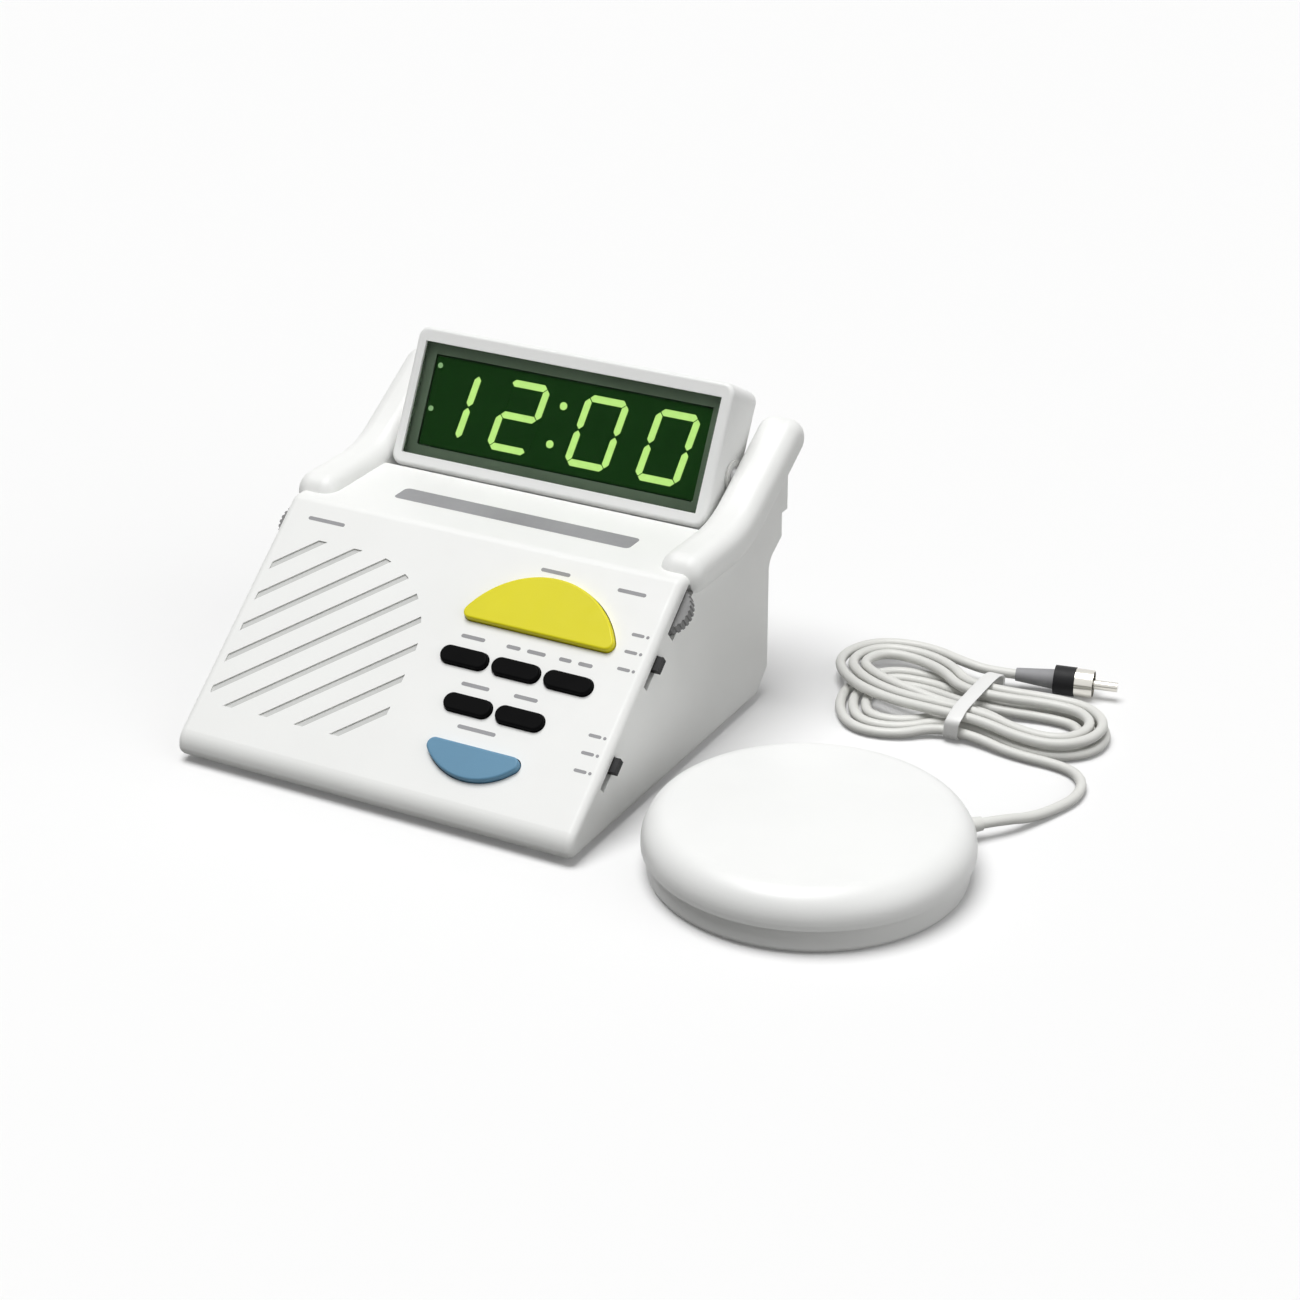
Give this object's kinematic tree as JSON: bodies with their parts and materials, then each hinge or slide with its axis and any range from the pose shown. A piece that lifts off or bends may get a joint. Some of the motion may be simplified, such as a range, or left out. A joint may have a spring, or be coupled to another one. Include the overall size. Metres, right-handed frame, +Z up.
{
  "type": "bed shaker alarm clock",
  "caption": "Wedge-shaped alarm clock with a tilting digit display between two arms, sloping control panel and speaker, with a domed vibrating puck on a bundled cord",
  "frame": {"origin": "on the table under the middle of the clock", "axes": "x to the right as the user reads the display, y to the back, z up"},
  "size_m": [0.2676, 0.201, 0.1076],
  "materials": {
    "white_case": "smooth satin",
    "black_rubber": "matt",
    "steel": "bright",
    "board_green": "satin",
    "black_plastic": "satin",
    "yellow_plastic": "satin",
    "blue_plastic": "satin",
    "frame_steel": "pressed",
    "cone_paper": "matt",
    "magnet_iron": "matt",
    "battery_skin": "satin",
    "window_glass": "polished",
    "lit_green": "lit",
    "dark_grey": "satin",
    "washer_fibre": "matt",
    "wheel_grey": "fluted",
    "weight_brass": "turned",
    "cord_white": "satin",
    "tie_white": "satin",
    "relief_grey": "matt",
    "nickel": "bright"
  },
  "bodies": {
    "clock": {"upper_housing": "white_case", "base_tray": "white_case", "rubber_feet": "black_rubber", "case_screws": "steel", "main_board": "board_green", "board_components": "black_plastic", "board_screws": "steel", "keypad_board": "board_green", "tact_switches": "black_plastic", "panel_screws": "steel", "speaker_gasket": "black_rubber", "speaker_frame": "frame_steel", "speaker_cone": "cone_paper", "speaker_magnet": "magnet_iron", "wheel_pots": "black_plastic", "wheel_boards": "board_green", "slide_switches": "black_plastic", "battery_box": "white_case", "battery": "battery_skin", "battery_clip": "black_plastic", "shaker_jack": "black_plastic", "power_jack": "black_plastic", "tilt_pins": "steel", "friction_washers": "washer_fibre"},
    "head": {"head_bezel": "white_case", "head_rear_shell": "white_case", "head_screws": "steel", "display_lens": "window_glass", "led_module": "black_plastic", "display_board": "board_green", "lit_segments": "lit_green", "dark_segments": "dark_grey"},
    "snooze_button_body": {"snooze_button": "yellow_plastic"},
    "top_left_key_body": {"top_left_key": "black_plastic"},
    "top_middle_key_body": {"top_middle_key": "black_plastic"},
    "top_right_key_body": {"top_right_key": "black_plastic"},
    "low_left_key_body": {"low_left_key": "black_plastic"},
    "low_right_key_body": {"low_right_key": "black_plastic"},
    "test_button_body": {"test_button": "blue_plastic"},
    "left_thumb_wheel_body": {"left_thumb_wheel": "wheel_grey"},
    "right_thumb_wheel_body": {"right_thumb_wheel": "wheel_grey"},
    "upper_slide_knob_body": {"upper_slide_knob": "black_plastic"},
    "lower_slide_knob_body": {"lower_slide_knob": "black_plastic"},
    "battery_door_body": {"battery_door": "white_case"},
    "shaker": {"shaker_lid": "white_case", "shaker_base": "white_case", "shaker_screws": "steel", "shaker_motor": "frame_steel", "motor_strap": "steel", "cord_relief": "cord_white", "cord_hank": "cord_white", "hank_tie": "tie_white", "cord_lead": "cord_white", "cord_tail": "cord_white", "plug_relief": "relief_grey", "plug_body": "black_plastic", "plug_contacts": "nickel"},
    "rotor": {"motor_shaft": "steel", "eccentric_weight": "weight_brass"}
  },
  "joints": [
    {"name": "head_tilt", "type": "hinge", "parent": "clock", "child": "head", "pos_m": [0, 0.066, 0.077], "axis": [-1, 0, 0], "range_deg": [-10, 15]},
    {"name": "snooze_button_press", "type": "slide", "parent": "clock", "child": "snooze_button_body", "axis": [0, 0.6293, -0.7771], "range_m": [0, 0.001], "stiffness_N_per_m": 400},
    {"name": "top_left_key_press", "type": "slide", "parent": "clock", "child": "top_left_key_body", "axis": [0, 0.6293, -0.7771], "range_m": [0, 0.001], "stiffness_N_per_m": 400},
    {"name": "top_middle_key_press", "type": "slide", "parent": "clock", "child": "top_middle_key_body", "axis": [0, 0.6293, -0.7771], "range_m": [0, 0.001], "stiffness_N_per_m": 400},
    {"name": "top_right_key_press", "type": "slide", "parent": "clock", "child": "top_right_key_body", "axis": [0, 0.6293, -0.7771], "range_m": [0, 0.001], "stiffness_N_per_m": 400},
    {"name": "low_left_key_press", "type": "slide", "parent": "clock", "child": "low_left_key_body", "axis": [0, 0.6293, -0.7771], "range_m": [0, 0.001], "stiffness_N_per_m": 400},
    {"name": "low_right_key_press", "type": "slide", "parent": "clock", "child": "low_right_key_body", "axis": [0, 0.6293, -0.7771], "range_m": [0, 0.001], "stiffness_N_per_m": 400},
    {"name": "test_button_press", "type": "slide", "parent": "clock", "child": "test_button_body", "axis": [0, 0.6293, -0.7771], "range_m": [0, 0.001], "stiffness_N_per_m": 400},
    {"name": "upper_slide_knob_slide", "type": "slide", "parent": "clock", "child": "upper_slide_knob_body", "axis": [0, -0.7771, -0.6293], "range_m": [0, 0.006]},
    {"name": "lower_slide_knob_slide", "type": "slide", "parent": "clock", "child": "lower_slide_knob_body", "axis": [0, -0.7771, -0.6293], "range_m": [0, 0.006]},
    {"name": "left_thumb_wheel_turn", "type": "hinge", "parent": "clock", "child": "left_thumb_wheel_body", "pos_m": [-0.0675, 0.00604, 0.05589], "axis": [0, -0.6293, 0.7771], "range_deg": [-140, 140]},
    {"name": "right_thumb_wheel_turn", "type": "hinge", "parent": "clock", "child": "right_thumb_wheel_body", "pos_m": [0.0675, 0.00604, 0.05589], "axis": [0, -0.6293, 0.7771], "range_deg": [-140, 140]},
    {"name": "battery_door_swing", "type": "hinge", "parent": "clock", "child": "battery_door_body", "pos_m": [-0.024, 0.0689, 0.01575], "axis": [-1, 0, 0], "range_deg": [0, 90]},
    {"name": "shaker_lift", "type": "slide", "parent": "clock", "child": "shaker", "axis": [0, 0, 1], "range_m": [0, 0.15]},
    {"name": "rotor_spin", "type": "hinge", "parent": "shaker", "child": "rotor", "pos_m": [0.1418, -0.0294, 0.0099], "axis": [1, 0, 0], "continuous": true}
  ]
}
